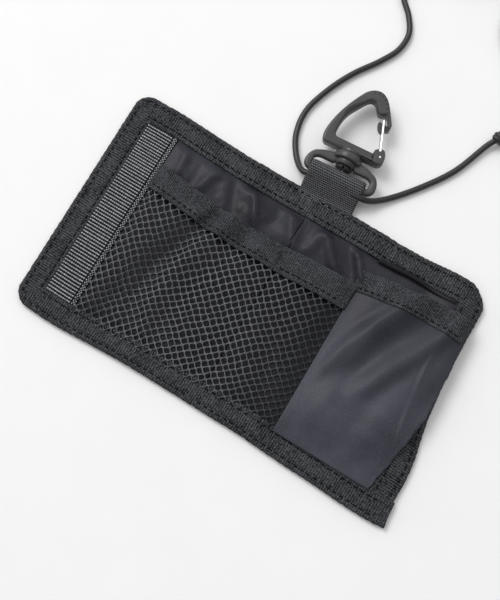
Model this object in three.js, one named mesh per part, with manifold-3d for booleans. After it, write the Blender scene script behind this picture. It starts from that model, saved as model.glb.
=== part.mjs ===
// Neck pouch wallet, lying open: a three-panel fabric wallet with a mesh pocket, a raised coin
// pocket, a hook-and-loop closure, and a neck cord with a swivelling snap hook on a webbing tab.
// Millimetres. +X along the open wallet, +Y towards the snap hook, +Z up. The origin is the middle
// of the wallet's back face.
import * as THREE from 'three';
import { mergeVertices } from 'three/addons/utils/BufferGeometryUtils.js';
import Module from 'manifold-3d';

const wasm = await Module();
wasm.setup();

// ---- driving dimensions -------------------------------------------------------------------
const HALF_X = 93, HALF_Y = 55;             // open wallet, half sizes
const FOLD_LEFT = -31, FOLD_RIGHT = 31.5;   // fold lines
const GAP = 0.3;                            // clearance between neighbouring pieces
const CORNER_R = 6;                         // rounded corners of the border
const TAPE_W = 11;                          // border tape as seen from one side
const TAPE_Z = [0, 0.8, 1.7, 2.5];          // under leg, slot and upper leg of the folded tape
const SHELL_Z = [0, 0.95, 1.55];            // back face, edge flange, inner face
const LINING_Z = [1.85, 2.3];
const SEWN_Z = 2.55;                        // level of everything sewn onto the lining
const HOOK_TAPE = { x0: -82, x1: -67, z1: 3.9 };
const LOOP_TAPE = { x0: 41.2, x1: 56.2, z1: 0.7 };
const MESH = { x0: -66, x1: 33, y1: 25, z0: 2.75, z1: 3.25 };
const MESH_TAPE = { y0: 16, y1: 28, z0: 2.55, z1: 3.8 };
const COIN = { x0: 34, x1: 85, base: 81.6, y0: -43.4, y1: 33, z1: 8, wall: 0.8 };
const COIN_TAPE = { y0: 25, y1: 37, z0: 6.55, z1: 8.6 };
const TAB = { centre: -0.6, w: 25, t: 1.3, inner: 2.3, v0: -13.2, notchX: 3, notchY: 47.5 };
const BAR = { x: 2.6, y: 62.2, z: 6.5, tilt: 4.5 };   // ring bar: place, height, turn in degrees
const RING = { halfW: 17, bar: 3.0, thick: 3.2 };
const COLLAR = { r: 6.4, v0: 8.5, v1: 12 };
const STUD = { r: 2.6, headR: 3.8 };
const HOOK_T = 5.6;                         // thickness of the hook's flat body
const GATE = { wire: 1.5, legs: 2.0 };      // wire diameter, each leg's offset from mid-plane
const CORD_D = 2.7;
const KNOT = { r: 3.1, len: 6.5 };
const COIL = { x: 5, y: 200, z: 4.9, r: 15.5, bundle: 4.05 };
const TIE = { w: 5, t: 0.5 };               // band that holds the coil together

// ---- materials ----------------------------------------------------------------------------
const material = (color, roughness, metalness = 0) =>
  new THREE.MeshStandardMaterial({ color, roughness, metalness });
const tape = () => material(0x3a3c40, 0.85);
const nylon = () => material(0x34363a, 0.8);
const satin = () => material(0x464a52, 0.45);
const plastic = () => material(0x2e2f31, 0.4);
const cordFibre = () => material(0x3c3c3b, 0.8);

// ---- helpers ------------------------------------------------------------------------------
const group = new THREE.Group();

function add(name, geometry, mat, parent = group) {
  const mesh = new THREE.Mesh(geometry, mat);
  mesh.name = name;
  parent.add(mesh);
  return mesh;
}

function solid(geometry) {
  const g = geometry.clone();
  g.deleteAttribute('normal');
  g.deleteAttribute('uv');
  const merged = mergeVertices(g, 1e-4);
  return new wasm.Manifold(new wasm.Mesh({
    numProp: 3,
    vertProperties: new Float32Array(merged.attributes.position.array),
    triVerts: new Uint32Array(merged.index.array),
  }));
}

function geometryOf(manifold) {
  const { vertProperties, triVerts } = manifold.getMesh();
  const g = new THREE.BufferGeometry();
  g.setAttribute('position', new THREE.BufferAttribute(new Float32Array(vertProperties), 3));
  g.setIndex(new THREE.BufferAttribute(new Uint32Array(triVerts), 1));
  g.computeVertexNormals();
  return g;
}

const box = (x0, x1, y0, y1, z0, z1) =>
  new THREE.BoxGeometry(x1 - x0, y1 - y0, z1 - z0).translate((x0 + x1) / 2, (y0 + y1) / 2, (z0 + z1) / 2);
const block = (...ends) => solid(box(...ends));

function plate(shape, z0, z1, curveSegments = 8) {
  return new THREE.ExtrudeGeometry(shape, { depth: z1 - z0, bevelEnabled: false, curveSegments }).translate(0, 0, z0);
}

const polygon = (points) => new THREE.Shape(points.map(([x, y]) => new THREE.Vector2(x, y)));

// The wallet's outline drawn in by a distance; the lower right corner is square.
function outline(inset) {
  const x = HALF_X - inset, y = HALF_Y - inset, r = Math.max(CORNER_R - inset, 0.5);
  const s = new THREE.Shape();
  s.moveTo(-x + r, -y);
  s.lineTo(x, -y);
  s.lineTo(x, y - r);
  s.absarc(x - r, y - r, r, 0, Math.PI / 2, false);
  s.lineTo(-x + r, y);
  s.absarc(-x + r, y - r, r, Math.PI / 2, Math.PI, false);
  s.lineTo(-x, -y + r);
  s.absarc(-x + r, -y + r, r, Math.PI, 1.5 * Math.PI, false);
  return s;
}

// A profile in Y and Z carried along X.
const bar = (shape, x0, x1, curveSegments = 6) =>
  new THREE.ExtrudeGeometry(shape, { depth: x1 - x0, bevelEnabled: false, curveSegments })
    .rotateY(Math.PI / 2).rotateX(Math.PI / 2).translate(x0, 0, 0);

// ---- panels: shell, lining and folded border tape ------------------------------------------
const half = GAP / 2;
const panels = {
  left: [-HALF_X, FOLD_LEFT - half],
  middle: [FOLD_LEFT + half, FOLD_RIGHT - half],
  right: [FOLD_RIGHT + half, HALF_X],
};
const rim = TAPE_W + GAP;

const flange = solid(plate(outline(1.3), SHELL_Z[1], SHELL_Z[2]));
const core = block(-HALF_X + rim, HALF_X - rim, -HALF_Y + rim, HALF_Y - rim, SHELL_Z[0], SHELL_Z[2]);
const shell = flange.add(core);
const tabHalf = TAB.w / 2 + 1;
const tabNotch = block(TAB.notchX - tabHalf, TAB.notchX + tabHalf, TAB.notchY, HALF_Y + 1, ...TAPE_Z.slice(1, 3));
const tapeRecess = block(LOOP_TAPE.x0 - GAP, LOOP_TAPE.x1 + GAP, -HALF_Y, HALF_Y, -1, SHELL_Z[1]);

const ring4 = solid(plate(outline(0), TAPE_Z[0], TAPE_Z[3]));
const inner = block(-HALF_X + TAPE_W, HALF_X - TAPE_W, -HALF_Y + TAPE_W, HALF_Y - TAPE_W, -1, 5);
const slot = solid(plate(outline(1), TAPE_Z[1], TAPE_Z[2]));
const border = ring4.subtract(inner).subtract(slot).subtract(tabNotch);

const region = (points) => solid(plate(polygon(points), -2, 6));
const m = TAPE_W + 2;                        // past the inner edge of the border
const X = HALF_X, Y = HALF_Y;

for (const [side, [x0, x1]] of Object.entries(panels)) {
  const slice = block(x0, x1, -70, 70, -2, 6);
  let body = shell.intersect(slice);
  if (side === 'middle') body = body.subtract(tabNotch);
  if (side === 'right') body = body.subtract(tapeRecess);
  add(`shell_${side}`, geometryOf(body), nylon());

  const lx0 = Math.max(x0, -X + rim), lx1 = Math.min(x1, X - rim);
  add(`lining_${side}`, box(lx0, lx1, -Y + rim, Y - TAPE_W - GAP, ...LINING_Z), satin());

  // Long borders reach the corners, where they meet the short ones on a mitre.
  const xa = side === 'left' ? -X - 1 : x0, xb = side === 'right' ? X + 1 : x1;
  const inA = side === 'left' ? -X + m : x0, inB = side === 'right' ? X - m : x1;
  const top = region([[inA, Y - m], [inB, Y - m], [xb, Y + 1], [xa, Y + 1]]);
  add(`binding_top_${side}`, geometryOf(border.intersect(top)), tape());
  // The lower border runs square past the right end.
  const bottom = side === 'right'
    ? region([[xa, -Y - 1], [xb, -Y - 1], [xb, -Y + TAPE_W + 1], [xa, -Y + TAPE_W + 1]])
    : region([[xa, -Y - 1], [xb, -Y - 1], [inB, -Y + m], [inA, -Y + m]]);
  add(`binding_bottom_${side}`, geometryOf(border.intersect(bottom)), tape());
}

const c = GAP * 0.7;                         // half the mitre gap, taken along Y
const leftEnd = region([[-X - 1, -Y - 1 + 2 * c], [-X + m, -Y + m + 2 * c], [-X + m, Y - m - 2 * c],
  [-X - 1, Y + 1 - 2 * c]]);
add('binding_left', geometryOf(border.intersect(leftEnd)), tape());
const rightEnd = region([[X + 1, -Y + TAPE_W + 1 + GAP], [X + 1, Y + 1 - 2 * c], [X - m, Y - m - 2 * c],
  [X - m, -Y + TAPE_W + 1 + GAP]]);
add('binding_right', geometryOf(border.intersect(rightEnd)), tape());

// ---- closure ------------------------------------------------------------------------------
const innerY = HALF_Y - rim;
add('hook_tape', box(HOOK_TAPE.x0 + GAP, HOOK_TAPE.x1, -innerY, innerY, SEWN_Z, HOOK_TAPE.z1),
  material(0x5c5e60, 0.9));
add('loop_tape', box(LOOP_TAPE.x0, LOOP_TAPE.x1, -innerY, innerY, 0, LOOP_TAPE.z1),
  material(0x303236, 0.95));

// ---- mesh pocket, its tape and the fold between its two lengths -----------------------------
const meshSpans = { left: [MESH.x0, FOLD_LEFT - half], middle: [FOLD_LEFT + half, FOLD_RIGHT - half] };
for (const [side, [x0, x1]] of Object.entries(meshSpans)) {
  add(`mesh_pocket_${side}`, box(x0, x1, -innerY, MESH.y1, MESH.z0, MESH.z1), material(0x3b3d40, 0.7));
  const t = MESH_TAPE;
  const fold = solid(box(x0, x1, t.y0, t.y1, t.z0, t.z1))
    .subtract(block(x0 - 1, x1 + 1, t.y0 - 1, MESH.y1 + GAP, MESH.z0 - 0.1, MESH.z1 + 0.1));
  add(`mesh_binding_${side}`, geometryOf(fold), tape());
}

// ---- coin pocket: a shallow open-topped box of satin ----------------------------------------
{
  const { x0, x1, base, y0, y1, z1, wall } = COIN;
  const outer = block(x0, base, y0, y1, SEWN_Z, z1).add(block(x0, x1, y0, y1, TAPE_Z[3] + GAP, z1));
  const cavity = block(x0 + wall, base - wall, y0 + wall, y1 + 5, SEWN_Z - 1, z1 - wall)
    .add(block(x0 + wall, x1 - wall, y0 + wall, y1 + 5, TAPE_Z[3] + GAP + wall, z1 - wall));
  add('coin_pocket', geometryOf(outer.subtract(cavity)), satin());
  const t = COIN_TAPE;
  const mouth = block(x0 - 1, x1 + 0.6, t.y0, t.y1, t.z0, t.z1);
  const seat = block(x0 - GAP, x1 + GAP, t.y0 - 1, y1 + GAP, z1 - wall - GAP, z1 + 0.2);
  const sides = block(x0 - 2, x0 + wall + GAP, t.y0 - 1, y1 + GAP, 0, z1)
    .add(block(x1 - wall - GAP, x1 + 2, t.y0 - 1, y1 + GAP, 0, z1));
  add('coin_pocket_binding', geometryOf(mouth.subtract(seat).subtract(sides)), tape());
}

// ---- the turned frame of the tab, ring and hook ---------------------------------------------
const hardware = new THREE.Group();
hardware.position.set(BAR.x, BAR.y, BAR.z);
hardware.rotation.z = THREE.MathUtils.degToRad(BAR.tilt);
group.add(hardware);

// ---- webbing tab: a doubled strap whose loop holds the ring's bar ----------------------------
// Its profile is drawn in distance from the bar's axis (towards the hook) and height.
{
  const { w, inner: ri, t, centre } = TAB;
  const ro = ri + t, zc = BAR.z, vc = 0.4;
  const s = new THREE.Shape();
  s.moveTo(TAB.v0, 1.05);
  s.lineTo(-5.8, 1.05);
  s.quadraticCurveTo(-4.4, 1.2, -2.2, zc - ro);
  s.lineTo(vc, zc - ro);
  s.absarc(vc, zc, ro, -Math.PI / 2, Math.PI / 2, false);
  s.lineTo(-1.6, zc + ro);
  s.quadraticCurveTo(-5.4, zc + ro, -6.1, 5.6);
  s.quadraticCurveTo(-6.2, 3.6, -5.8, 2.9);
  s.lineTo(-5.8, 1.5);
  s.lineTo(TAB.v0, 1.5);
  s.closePath();
  const hole = new THREE.Path();
  hole.moveTo(-4.8, 3.4);
  hole.lineTo(-2.2, zc - ri);
  hole.lineTo(vc, zc - ri);
  hole.absarc(vc, zc, ri, -Math.PI / 2, Math.PI / 2, false);
  hole.lineTo(-1.6, zc + ri);
  hole.quadraticCurveTo(-4.6, zc + ri, -4.9, 5.6);
  hole.closePath();
  s.holes.push(hole);
  add('webbing_tab', bar(s, centre - w / 2, centre + w / 2).translate(0, 0, -BAR.z),
    material(0x36383b, 0.85), hardware);
}

// ---- swivel ring, snap hook and wire gate, drawn flat about the ring's bar -------------------
{
  const { halfW, bar: d, thick } = RING;
  const s = new THREE.Shape();
  s.moveTo(-halfW + 3.4, -d / 2);
  s.lineTo(halfW - 3.4, -d / 2);
  s.quadraticCurveTo(halfW, -0.8, halfW, 2.4);
  s.quadraticCurveTo(halfW - 0.2, 6, halfW - 2.6, 8);
  s.quadraticCurveTo(9, 11, 0, 11);
  s.quadraticCurveTo(-9, 11, -halfW + 2.6, 8);
  s.quadraticCurveTo(-halfW + 0.2, 6, -halfW, 2.4);
  s.quadraticCurveTo(-halfW, -0.8, -halfW + 3.4, -d / 2);
  const hole = new THREE.Path();
  hole.moveTo(-13.5, d / 2);
  hole.lineTo(-13.5, 4.3);
  hole.quadraticCurveTo(-12.8, 5.6, -10.6, 5.8);
  hole.lineTo(10.6, 5.8);
  hole.quadraticCurveTo(12.8, 5.6, 13.5, 4.3);
  hole.lineTo(13.5, d / 2);
  hole.closePath();
  s.holes.push(hole);
  // The lower half of the bar is round, so that it turns freely in the loop beside the cord.
  const roundBar = solid(new THREE.CylinderGeometry(d / 2 + 0.05, d / 2 + 0.05, 60, 20).rotateZ(Math.PI / 2));
  const whole = solid(plate(s, -thick / 2, thick / 2, 8));
  const frame = whole.intersect(block(-20, 20, 0, 20, -3, 3)).add(whole.intersect(roundBar));
  const yAxis = (r, v0, v1, n = 24) => solid(new THREE.CylinderGeometry(r, r, v1 - v0, n)
    .translate(0, (v0 + v1) / 2, 0));
  const collar = yAxis(COLLAR.r, COLLAR.v0, COLLAR.v1, 32).add(yAxis(4.6, 6.4, 9));
  const bore = yAxis(STUD.r + 0.25, 4, 14);
  add('swivel_ring', geometryOf(frame.add(collar).subtract(bore)), plastic(), hardware);

  // Hook body: base bar, curved left arm, crown and nose, with the lug that carries the gate.
  const h = new THREE.Shape();
  h.moveTo(-12.6, 12.6);
  h.lineTo(10.4, 12.6);
  h.quadraticCurveTo(13.6, 12.4, 14.4, 14.6);
  h.quadraticCurveTo(14.8, 17, 13.6, 19.6);
  h.quadraticCurveTo(12.4, 21.6, 10.6, 20.8);
  h.lineTo(8.8, 19.6);
  h.lineTo(8.6, 17);
  h.lineTo(-8.6, 17);
  h.quadraticCurveTo(-10.2, 17.4, -10.2, 20.4);
  h.quadraticCurveTo(-10.4, 27, -7.6, 31.6);
  h.lineTo(-4, 37.4);
  h.quadraticCurveTo(-2.2, 40, 0, 38.6);
  h.lineTo(2.8, 34.8);
  h.lineTo(5.2, 34.9);
  h.lineTo(5.8, 35.8);
  h.lineTo(7.8, 34);
  h.lineTo(9.4, 29.4);
  h.quadraticCurveTo(10.9, 31, 10.3, 32.6);
  h.lineTo(6, 39.6);
  h.quadraticCurveTo(3, 44.6, -0.8, 44.6);
  h.quadraticCurveTo(-4.4, 44.2, -6.6, 41);
  h.quadraticCurveTo(-13.2, 30, -14.6, 19.6);
  h.quadraticCurveTo(-15.4, 13.4, -12.6, 12.6);
  const flat = solid(plate(h, -HOOK_T / 2, HOOK_T / 2, 8));
  // The lug is thinner than the body, so the wire's two legs pass on either side of it.
  const thin = block(8.7, 16, 14, 24, 1.1, 4).add(block(8.7, 16, 14, 24, -4, -1.1));
  const pivot = solid(new THREE.CylinderGeometry(1.0, 1.0, 12, 16).rotateX(Math.PI / 2)
    .translate(12.2, 16.4, 0));
  const stud = yAxis(STUD.r, 4.6, 13).add(yAxis(STUD.headR, 4.5, 5.5)).add(yAxis(5.2, 12.15, 13.4));
  const split = block(-0.5, 0.5, 3, 7.6, -5, 5);
  // A thin prong on the nose stands between the wire's legs, and the wire's bend rests above it.
  const prong = solid(plate(polygon([[9.9, 29.8], [7.6, 27.2], [5.4, 29], [4.5, 31.2], [5.4, 32], [8.9, 31.6]]),
    -1.05, 1.05));
  add('hook_body', geometryOf(flat.add(prong).subtract(thin).subtract(pivot)
    .add(stud.subtract(split))), plastic(), hardware);

  // Gate: one wire bent into a narrow U, its ends turned into the lug's hole.
  const path = new THREE.CurvePath();
  const V = (x, y, z) => new THREE.Vector3(x, y, z);
  const z = GATE.legs + 0.05;
  const stops = [V(12.2, 16.4, 0.35), V(12.2, 16.4, z), V(6.4, 33.4, z), V(6.4, 33.4, -z),
    V(12.2, 16.4, -z), V(12.2, 16.4, -0.35)];
  const bend = 1.0;
  let from = stops[0];
  for (let i = 1; i < stops.length - 1; i += 1) {
    const before = stops[i].clone().add(stops[i - 1].clone().sub(stops[i]).setLength(bend));
    const after = stops[i].clone().add(stops[i + 1].clone().sub(stops[i]).setLength(bend));
    path.add(new THREE.LineCurve3(from, before));
    path.add(new THREE.QuadraticBezierCurve3(before, stops[i], after));
    from = after;
  }
  path.add(new THREE.LineCurve3(from, stops[stops.length - 1]));
  add('wire_gate', wire(path, GATE.wire, 70), material(0xb9bcc0, 0.25, 1), hardware);
}

// ---- neck cord ------------------------------------------------------------------------------
// A round section carried along a curve.
function wire(curve, diameter, steps) {
  const r = diameter / 2, circle = new THREE.Shape();
  for (let i = 0; i < 8; i += 1) {
    const a = (i / 8) * 2 * Math.PI;
    if (i) circle.lineTo(r * Math.cos(a), r * Math.sin(a));
    else circle.moveTo(r, 0);
  }
  circle.closePath();
  return new THREE.ExtrudeGeometry(circle, { steps, bevelEnabled: false, extrudePath: curve });
}

const run = (points) => new THREE.CatmullRomCurve3(points.map(([x, y, z]) => new THREE.Vector3(x, y, z)),
  false, 'centripetal');
const low = CORD_D / 2;
const side = COIL.r + COIL.bundle + GAP + low;

add('neck_cord_left', wire(run([
  [2.6, 58.99, 6.3], [-4, 58.47, 6.3], [-10.1, 58, 6.3], [-12.4, 58, 5.4], [-15.8, 60.2, 3.3], [-20.4, 65.4, 1.8],
  [-24.6, 73, low], [-26.4, 84, low], [-23.4, 97, low], [-17.6, 110.4, low], [-9.8, 122.8, low],
  [-5.6, 132, low], [-5.6, 141, low], [-10.4, 149, low], [-17, 156, low], [-20.5, 168, low],
  [COIL.x - side, 184, low], [COIL.x - side, COIL.y, low]]), CORD_D, 76), cordFibre());
const KNOT_AT = [53.9, 117.6], KNOT_DIR = [0.5, 0.866];
const off = KNOT.len / 2;
const along = (d, z = low) => [KNOT_AT[0] + KNOT_DIR[0] * d, KNOT_AT[1] + KNOT_DIR[1] * d, z];
add('neck_cord_right', wire(run([
  [3.2, 59.04, 6.3], [9.6, 59.54, 6.3], [15.8, 60.03, 6.3], [18.2, 60.9, 5.1], [21.6, 63.6, 3.0],
  [27.2, 69.6, 1.6], [36, 81, low], [44.4, 94.6, low], along(-off - 3, 2.2), along(-off, KNOT.r), along(off, KNOT.r), along(off + 4, 2.2),
  [51.4, 139, low], [41, 152.4, low], [30.6, 164.4, low], [27.6, 176, low], [COIL.x + side, 188, low],
  [COIL.x + side, COIL.y, low]]), CORD_D, 76), cordFibre());

{
  const r0 = CORD_D / 2 + GAP, r1 = KNOT.r, l = KNOT.len / 2;
  const profile = [[r0, -l], [r1 - 0.9, -l], [r1, -l + 1.4], [r1, l - 1.4], [r1 - 0.9, l], [r0, l], [r0, -l]];
  const knot = new THREE.LatheGeometry(profile.map(([a, b]) => new THREE.Vector2(a, b)), 16);
  const k = add('cord_knot', knot, cordFibre());
  k.position.set(...KNOT_AT, KNOT.r);
  k.quaternion.setFromUnitVectors(new THREE.Vector3(0, 1, 0), new THREE.Vector3(...KNOT_DIR, 0).normalize());

  const { x, y, r, bundle } = COIL;
  const section = [];
  for (let i = 0; i <= 12; i += 1) {
    const a = (i / 12) * 2 * Math.PI;
    section.push(new THREE.Vector2(r + bundle * Math.cos(a), bundle * Math.sin(a)));
  }
  section[12] = section[0].clone();
  const coil = new THREE.LatheGeometry(section, 32).rotateX(Math.PI / 2);
  add('cord_coil', coil, cordFibre()).position.set(x, y, COIL.z);

  const inside = bundle + GAP, outside = inside + TIE.t, w = TIE.w / 2;
  const band = [[inside, -w], [outside, -w], [outside, w], [inside, w], [inside, -w]];
  add('coil_tie', new THREE.LatheGeometry(band.map(([a, b]) => new THREE.Vector2(a, b)), 24)
    .rotateZ(Math.PI / 2), material(0x2b2b2b, 0.6)).position.set(x, y + r, COIL.z);
}

export default group;
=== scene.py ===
import math
import bpy
import numpy as np
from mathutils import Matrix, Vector, noise


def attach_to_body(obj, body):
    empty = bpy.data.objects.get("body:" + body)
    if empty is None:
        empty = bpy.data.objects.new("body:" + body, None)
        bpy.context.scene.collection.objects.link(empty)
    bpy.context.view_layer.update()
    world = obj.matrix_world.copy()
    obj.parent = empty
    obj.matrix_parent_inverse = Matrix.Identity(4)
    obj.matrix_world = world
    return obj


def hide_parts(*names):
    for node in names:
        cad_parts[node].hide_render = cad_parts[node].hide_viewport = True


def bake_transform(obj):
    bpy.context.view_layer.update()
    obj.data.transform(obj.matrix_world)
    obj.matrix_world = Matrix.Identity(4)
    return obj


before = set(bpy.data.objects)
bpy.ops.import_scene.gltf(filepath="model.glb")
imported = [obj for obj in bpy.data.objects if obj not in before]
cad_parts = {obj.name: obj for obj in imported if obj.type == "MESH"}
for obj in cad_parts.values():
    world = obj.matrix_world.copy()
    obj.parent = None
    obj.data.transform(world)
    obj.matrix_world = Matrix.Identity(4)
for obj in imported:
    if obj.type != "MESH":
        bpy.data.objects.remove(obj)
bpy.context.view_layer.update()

MM = 0.001
scene = bpy.context.scene
scene.view_settings.view_transform = "Standard"
scene.view_settings.look = "None"

# ------------------------------------------------------------------ camera, at the photograph's angle
AIM = Vector((-2.46, -2.41, 0)) * MM
AZ, EL, DIST = math.radians(31.6), math.radians(78.0), 431.4 * MM
back = Vector((math.sin(AZ) * math.cos(EL), -math.cos(AZ) * math.cos(EL), math.sin(EL)))
cam = bpy.data.objects.new("camera", bpy.data.cameras.new("camera"))
cam.data.lens = 60
cam.data.sensor_width = 36
cam.data.clip_start, cam.data.clip_end = 0.01, 20
cam.location = AIM + back * DIST
cam.rotation_mode = "QUATERNION"
cam.rotation_quaternion = (-back).to_track_quat("-Z", "Y")
scene.collection.objects.link(cam)
scene.camera = cam


# ------------------------------------------------------------------ materials
class Mat:
    """A node material whose weave is laid out on UVs in millimetres, or on object space in metres."""

    def __init__(self, name, rough=0.6, metal=0.0):
        self.m = bpy.data.materials.new(name)
        self.m.use_nodes = True
        self.t = self.m.node_tree
        self.b = self.t.nodes["Principled BSDF"]
        self.b.inputs["Roughness"].default_value = rough
        self.b.inputs["Metallic"].default_value = metal
        uv = self.t.nodes.new("ShaderNodeUVMap")
        sep = self.t.nodes.new("ShaderNodeSeparateXYZ")
        self.t.links.new(uv.outputs[0], sep.inputs[0])
        self.uv, self.u, self.v = uv.outputs[0], sep.outputs[0], sep.outputs[1]
        self.obj = self.t.nodes.new("ShaderNodeTexCoord").outputs["Object"]

    def put(self, socket, value):
        if isinstance(value, bpy.types.NodeSocket):
            self.t.links.new(value, socket)
        else:
            socket.default_value = value

    def math(self, op, a, b=0.0, c=0.0, clamp=False):
        n = self.t.nodes.new("ShaderNodeMath")
        n.operation, n.use_clamp = op, clamp
        for i, x in enumerate((a, b, c)):
            self.put(n.inputs[i], x)
        return n.outputs[0]

    def mul(self, a, b):
        return self.math("MULTIPLY", a, b)

    def mad(self, a, b, c, clamp=False):
        """a times b, plus c."""
        return self.math("MULTIPLY_ADD", a, b, c, clamp)

    def wave(self, coordinate, pitch, phase=0.0):
        """0 to 1 and back once every pitch."""
        s = self.math("MULTIPLY_ADD", coordinate, 2 * math.pi / pitch, phase)
        return self.math("MULTIPLY_ADD", self.math("SINE", s), 0.5, 0.5)

    def noise(self, scale, detail=3.0, vector=None, rough=0.55):
        n = self.t.nodes.new("ShaderNodeTexNoise")
        self.put(n.inputs["Vector"], self.obj if vector is None else vector)
        n.inputs["Scale"].default_value = scale
        n.inputs["Detail"].default_value = detail
        n.inputs["Roughness"].default_value = rough
        return n.outputs["Fac"]

    def mix(self, fac, a, b):
        n = self.t.nodes.new("ShaderNodeMix")
        n.data_type = "RGBA"
        self.put(n.inputs["Factor"], fac)
        self.put(n.inputs[6], (*a, 1) if isinstance(a, tuple) else a)
        self.put(n.inputs[7], (*b, 1) if isinstance(b, tuple) else b)
        return n.outputs[2]

    def ramp(self, x, lo, hi):
        n = self.t.nodes.new("ShaderNodeMapRange")
        for name, v in (("Value", x), ("From Min", lo), ("From Max", hi)):
            self.put(n.inputs[name], v)
        return n.outputs[0]

    def bump(self, height, distance, strength=1.0):
        n = self.t.nodes.new("ShaderNodeBump")
        n.inputs["Strength"].default_value = strength
        n.inputs["Distance"].default_value = distance * MM
        self.put(n.inputs["Height"], height)
        self.put(self.b.inputs["Normal"], n.outputs[0])

    def color(self, value):
        self.put(self.b.inputs["Base Color"], value)

    def rough(self, value):
        self.put(self.b.inputs["Roughness"], value)

    def shine(self, level):
        self.b.inputs["Specular IOR Level"].default_value = level

    def sheen(self, weight, roughness=0.4, tint=(0.8, 0.85, 1.0)):
        self.b.inputs["Sheen Weight"].default_value = weight
        self.b.inputs["Sheen Roughness"].default_value = roughness
        self.b.inputs["Sheen Tint"].default_value = (*tint, 1)


def grosgrain(name, dark, light, rib=1.12, rows=()):
    """Ribs run across the tape; fine warp threads cross them; the sewn rows sit in shallow grooves, darkened with
    painted shade.
    """
    k = Mat(name, 0.74)
    ribs = k.wave(k.u, rib)
    warp = k.wave(k.v, 0.58)
    fibre = k.ramp(k.noise(1700, 3.0, rough=0.7), 0.36, 0.64)
    cloud = k.ramp(k.noise(140, 3.0), 0.3, 0.7)
    h = k.mad(ribs, 0.5, k.mul(warp, 0.22))
    tone = k.mad(h, 0.74, k.mul(fibre, 0.72))
    tone = k.mad(cloud, 0.18, k.math("SUBTRACT", tone, 0.40), clamp=True)
    for row in rows:
        near = k.math("ABSOLUTE", k.math("SUBTRACT", k.v, row))
        near = k.mad(near, -1 / 0.42, 1.0, clamp=True)
        # Painted shade: the tone is darkened in each sewn row's groove.
        tone = k.mul(tone, k.mad(near, -0.35, 1.0))
        h = k.mad(near, -0.5, h)
    k.color(k.mix(tone, dark, light))
    k.bump(k.mad(fibre, 0.3, h), 0.22, 0.9)
    k.shine(0.08)
    k.sheen(0.02, 0.5)
    return k.m


def satin(name, dark, light, rough=0.42, shine=0.3, band=None):
    """Fine slanting twill under a soft gloss; a band, when given, darkens the tone towards one end with painted shade.
    """
    k = Mat(name, rough)
    slant = k.mad(k.u, 0.9, k.mul(k.v, 0.45))
    twill = k.wave(slant, 0.62)
    line = k.wave(k.u, 1.0)
    thread = k.wave(k.v, 0.4)
    cloud = k.ramp(k.noise(45, 4.0), 0.3, 0.7)
    grain = k.ramp(k.noise(1500, 2.0), 0.3, 0.7)
    tone = k.mad(twill, 0.2, k.mul(cloud, 0.42))
    tone = k.mad(grain, 0.22, k.mad(line, 0.14, tone), clamp=True)
    # Painted shade: the tone falls to 0.3 of itself at the band's first end and stays whole past its second.
    if band:
        tone = k.mul(tone, k.mad(k.ramp(k.v, band[0], band[1]), 0.7, 0.3))
    k.color(k.mix(tone, dark, light))
    k.rough(k.mad(cloud, 0.10, rough - 0.05))
    k.bump(k.mad(twill, 0.7, k.mad(thread, 0.3, k.mul(line, 0.4))), 0.04, 0.5)
    k.b.inputs["Anisotropic"].default_value = 0.3
    k.shine(shine)
    k.sheen(0.03, 0.35, (0.75, 0.8, 1.0))
    return k.m


def webbing(name):
    """Plain woven webbing: rows of short floats across the strap."""
    k = Mat(name, 0.72)
    row = k.wave(k.v, 0.95)
    half = k.mul(k.math("FLOOR", k.math("DIVIDE", k.v, 0.95)), math.pi)
    float_ = k.mad(k.math("SINE", k.mad(k.u, 2 * math.pi / 1.1, half)), 0.5, 0.5)
    fibre = k.ramp(k.noise(1600, 2.0), 0.3, 0.7)
    h = k.mad(row, 0.5, k.mul(float_, 0.32))
    tone = k.mad(h, 1.3, k.mad(fibre, 0.3, -0.30), clamp=True)
    k.color(k.mix(tone, (0.005, 0.005, 0.006), (0.18, 0.184, 0.195)))
    k.bump(h, 0.26, 0.9)
    k.shine(0.08)
    k.sheen(0.02)
    return k.m


def nylon(name, dark, light):
    k = Mat(name, 0.72)
    over = k.mul(k.wave(k.u, 0.5), k.wave(k.v, 0.5, 1.6))
    fibre = k.noise(1500, 2.0)
    k.color(k.mix(k.mad(over, 0.8, k.mul(fibre, 0.3)), dark, light))
    k.bump(over, 0.08, 0.7)
    k.shine(0.08)
    k.sheen(0.02)
    return k.m


def moulded(name, base, light, rough=0.38, shine=0.42):
    k = Mat(name, rough)
    grain = k.noise(1800, 3.0)
    cloud = k.noise(120, 3.0)
    k.color(k.mix(k.ramp(cloud, 0.3, 0.7), base, light))
    k.rough(k.mad(grain, 0.16, rough - 0.07))
    k.bump(grain, 0.02, 0.35)
    k.shine(shine)
    return k.m


def braid(name, length, around, dark, light):
    """A fine round braid: two families of strands cross along and round the cord."""
    k = Mat(name, 0.46)
    u = k.mul(k.u, length)
    v = k.mul(k.v, around)
    one = k.math("SINE", k.mul(k.math("ADD", u, v), 2 * math.pi))
    two = k.math("SINE", k.mul(k.math("SUBTRACT", u, v), 2 * math.pi))
    h = k.mad(k.mul(one, two), 0.5, 0.5)
    fibre = k.noise(2400, 2.0)
    tone = k.mad(h, 0.75, k.mul(k.ramp(fibre, 0.3, 0.7), 0.3), clamp=True)
    k.color(k.mix(tone, dark, light))
    k.bump(h, 0.06, 0.5)
    k.shine(0.5)
    k.sheen(0.03, 0.4, (1, 1, 1))
    return k.m


def plain(name, dark, light, rough=0.7, metal=0.0, scale=900, shine=0.08):
    k = Mat(name, rough, metal)
    n = k.noise(scale, 3.0)
    k.color(k.mix(k.ramp(n, 0.3, 0.7), dark, light))
    k.bump(n, 0.03, 0.5)
    k.shine(shine)
    return k.m


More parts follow.
